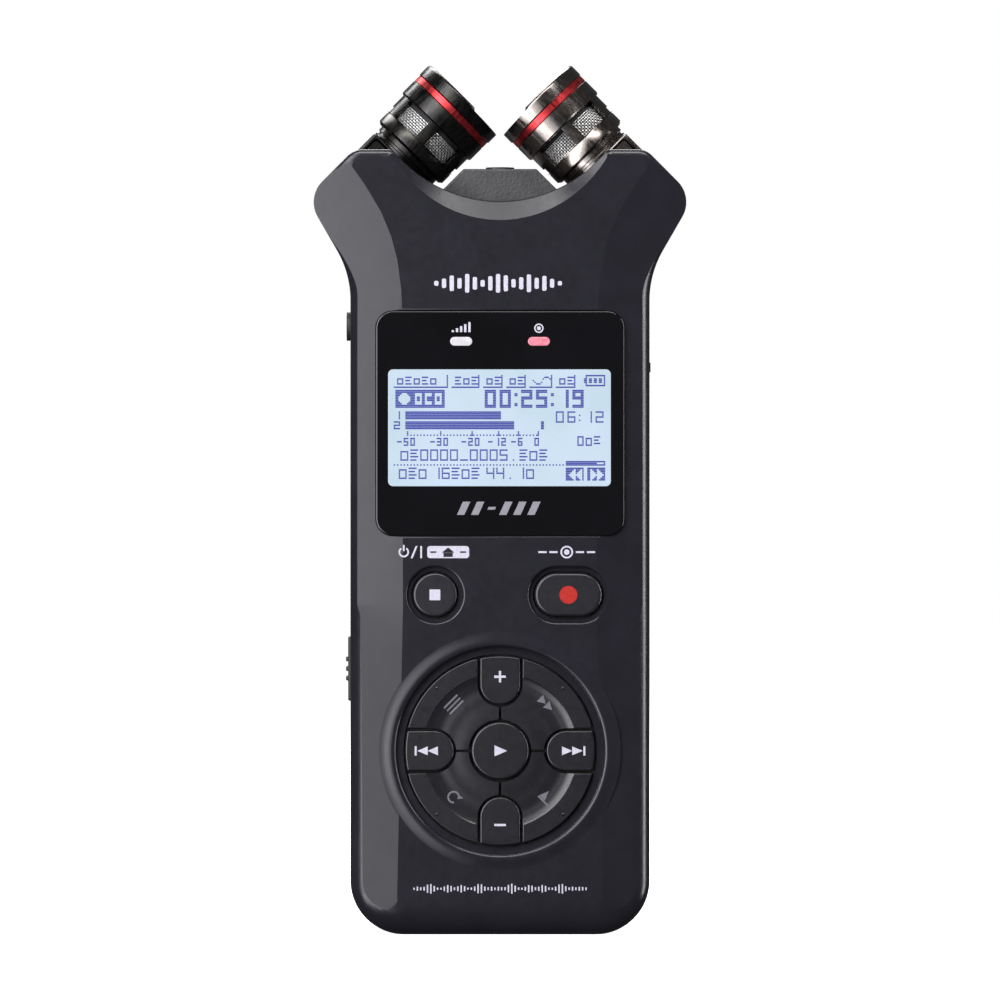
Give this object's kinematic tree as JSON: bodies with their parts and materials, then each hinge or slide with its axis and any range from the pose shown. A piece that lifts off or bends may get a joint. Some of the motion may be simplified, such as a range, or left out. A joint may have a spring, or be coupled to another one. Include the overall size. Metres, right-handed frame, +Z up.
{
  "type": "portable field recorder",
  "caption": "Handheld stereo recorder that stands upright, with two swivelling microphones on top, a backlit display, a key wheel, side sockets and a battery door at the back.",
  "frame": {"origin": "on the ground under the middle of the closed case", "axes": "+Z up along the case, display facing -Y, +X to the right of a person who reads the display"},
  "size_m": [0.0676, 0.026, 0.1574],
  "materials": {
    "case_plastic": "satin",
    "bridge_plastic": "matte",
    "window_plastic": "gloss",
    "lcd_glass": "gloss",
    "white_plastic": "matte",
    "clear_plastic": "gloss",
    "red_lamp": "gloss",
    "key_plastic": "satin",
    "wheel_plastic": "satin",
    "inner_plastic": "matte",
    "circuit_board": "satin",
    "chip_black": "matte",
    "bright_steel": "polished",
    "dark_steel": "satin",
    "brass": "satin",
    "card_plastic": "satin",
    "cell_wrap": "gloss",
    "black_metal": "gloss",
    "dark_chrome": "polished",
    "red_ring": "satin",
    "wire_mesh": "satin",
    "soft_rubber": "matte"
  },
  "bodies": {
    "recorder": {"front_shell": "case_plastic", "rear_shell": "case_plastic", "jack_bridge": "bridge_plastic", "display_window": "window_plastic", "lcd_panel": "lcd_glass", "backlight": "white_plastic", "lcd_holder": "white_plastic", "peak_lamp": "clear_plastic", "record_lamp": "red_lamp", "key_guide": "inner_plastic", "main_board": "circuit_board", "dome_switches": "bright_steel", "board_chips": "chip_black", "board_screws": "bright_steel", "case_screws": "dark_steel", "card_socket": "bright_steel", "memory_card": "card_plastic", "usb_socket": "bright_steel", "phones_jack": "inner_plastic", "input_jack": "inner_plastic", "hold_switch": "bright_steel", "speaker": "dark_steel", "tripod_insert": "brass", "pivot_pins": "bright_steel", "battery_cells": "cell_wrap", "battery_springs": "bright_steel", "battery_contacts": "bright_steel"},
    "home_key": {"home_key": "key_plastic"},
    "record_key": {"record_key": "key_plastic"},
    "play_key": {"play_key": "wheel_plastic"},
    "plus_key": {"plus_key": "wheel_plastic"},
    "minus_key": {"minus_key": "wheel_plastic"},
    "previous_key": {"previous_key": "wheel_plastic"},
    "next_key": {"next_key": "wheel_plastic"},
    "menu_key": {"menu_key": "wheel_plastic"},
    "quick_key": {"quick_key": "wheel_plastic"},
    "playback_key": {"playback_key": "wheel_plastic"},
    "mark_key": {"mark_key": "wheel_plastic"},
    "card_door": {"card_door": "case_plastic"},
    "hold_slider": {"hold_slider": "case_plastic"},
    "battery_door": {"battery_door": "case_plastic"},
    "left_mic": {"left_arm": "black_metal", "left_cage": "black_metal", "left_mesh": "wire_mesh", "left_red_ring": "red_ring", "left_front_ring": "black_metal", "left_grille": "wire_mesh", "left_capsule": "bright_steel", "left_capsule_mount": "soft_rubber"},
    "right_mic": {"right_arm": "dark_chrome", "right_cage": "dark_chrome", "right_mesh": "wire_mesh", "right_red_ring": "red_ring", "right_front_ring": "dark_chrome", "right_grille": "wire_mesh", "right_capsule": "bright_steel", "right_capsule_mount": "soft_rubber"}
  },
  "joints": [
    {"name": "left_mic_swing", "type": "hinge", "parent": "recorder", "child": "left_mic", "pos_m": [-0.0232, 0, 0.13595], "axis": [0, -1, 0], "range_deg": [0, 90]},
    {"name": "right_mic_swing", "type": "hinge", "parent": "recorder", "child": "right_mic", "pos_m": [0.0232, 0, 0.13595], "axis": [0, 1, 0], "range_deg": [0, 90]},
    {"name": "home_press", "type": "slide", "parent": "recorder", "child": "home_key", "axis": [0, 1, 0], "range_m": [0, 0.0004], "stiffness_N_per_m": 400, "springref_m": -0.001},
    {"name": "record_press", "type": "slide", "parent": "recorder", "child": "record_key", "axis": [0, 1, 0], "range_m": [0, 0.0004], "stiffness_N_per_m": 400, "springref_m": -0.001},
    {"name": "play_press", "type": "slide", "parent": "recorder", "child": "play_key", "axis": [0, 1, 0], "range_m": [0, 0.0004], "stiffness_N_per_m": 400, "springref_m": -0.001},
    {"name": "plus_press", "type": "slide", "parent": "recorder", "child": "plus_key", "axis": [0, 1, 0], "range_m": [0, 0.0004], "stiffness_N_per_m": 400, "springref_m": -0.001},
    {"name": "minus_press", "type": "slide", "parent": "recorder", "child": "minus_key", "axis": [0, 1, 0], "range_m": [0, 0.0004], "stiffness_N_per_m": 400, "springref_m": -0.001},
    {"name": "previous_press", "type": "slide", "parent": "recorder", "child": "previous_key", "axis": [0, 1, 0], "range_m": [0, 0.0004], "stiffness_N_per_m": 400, "springref_m": -0.001},
    {"name": "next_press", "type": "slide", "parent": "recorder", "child": "next_key", "axis": [0, 1, 0], "range_m": [0, 0.0004], "stiffness_N_per_m": 400, "springref_m": -0.001},
    {"name": "menu_press", "type": "slide", "parent": "recorder", "child": "menu_key", "axis": [0, 1, 0], "range_m": [0, 0.0004], "stiffness_N_per_m": 400, "springref_m": -0.001},
    {"name": "quick_press", "type": "slide", "parent": "recorder", "child": "quick_key", "axis": [0, 1, 0], "range_m": [0, 0.0004], "stiffness_N_per_m": 400, "springref_m": -0.001},
    {"name": "playback_press", "type": "slide", "parent": "recorder", "child": "playback_key", "axis": [0, 1, 0], "range_m": [0, 0.0004], "stiffness_N_per_m": 400, "springref_m": -0.001},
    {"name": "mark_press", "type": "slide", "parent": "recorder", "child": "mark_key", "axis": [0, 1, 0], "range_m": [0, 0.0004], "stiffness_N_per_m": 400, "springref_m": -0.001},
    {"name": "hold_slide", "type": "slide", "parent": "recorder", "child": "hold_slider", "axis": [0, 0, -1], "range_m": [0, 0.002]},
    {"name": "card_door_swing", "type": "hinge", "parent": "recorder", "child": "card_door", "pos_m": [0.0266, -0.0049, 0.0896], "axis": [0, 1, 0], "range_deg": [0, 100]},
    {"name": "battery_door_swing", "type": "hinge", "parent": "recorder", "child": "battery_door", "pos_m": [0, 0.01225, 0.06615], "axis": [1, 0, 0], "range_deg": [0, 95]}
  ]
}
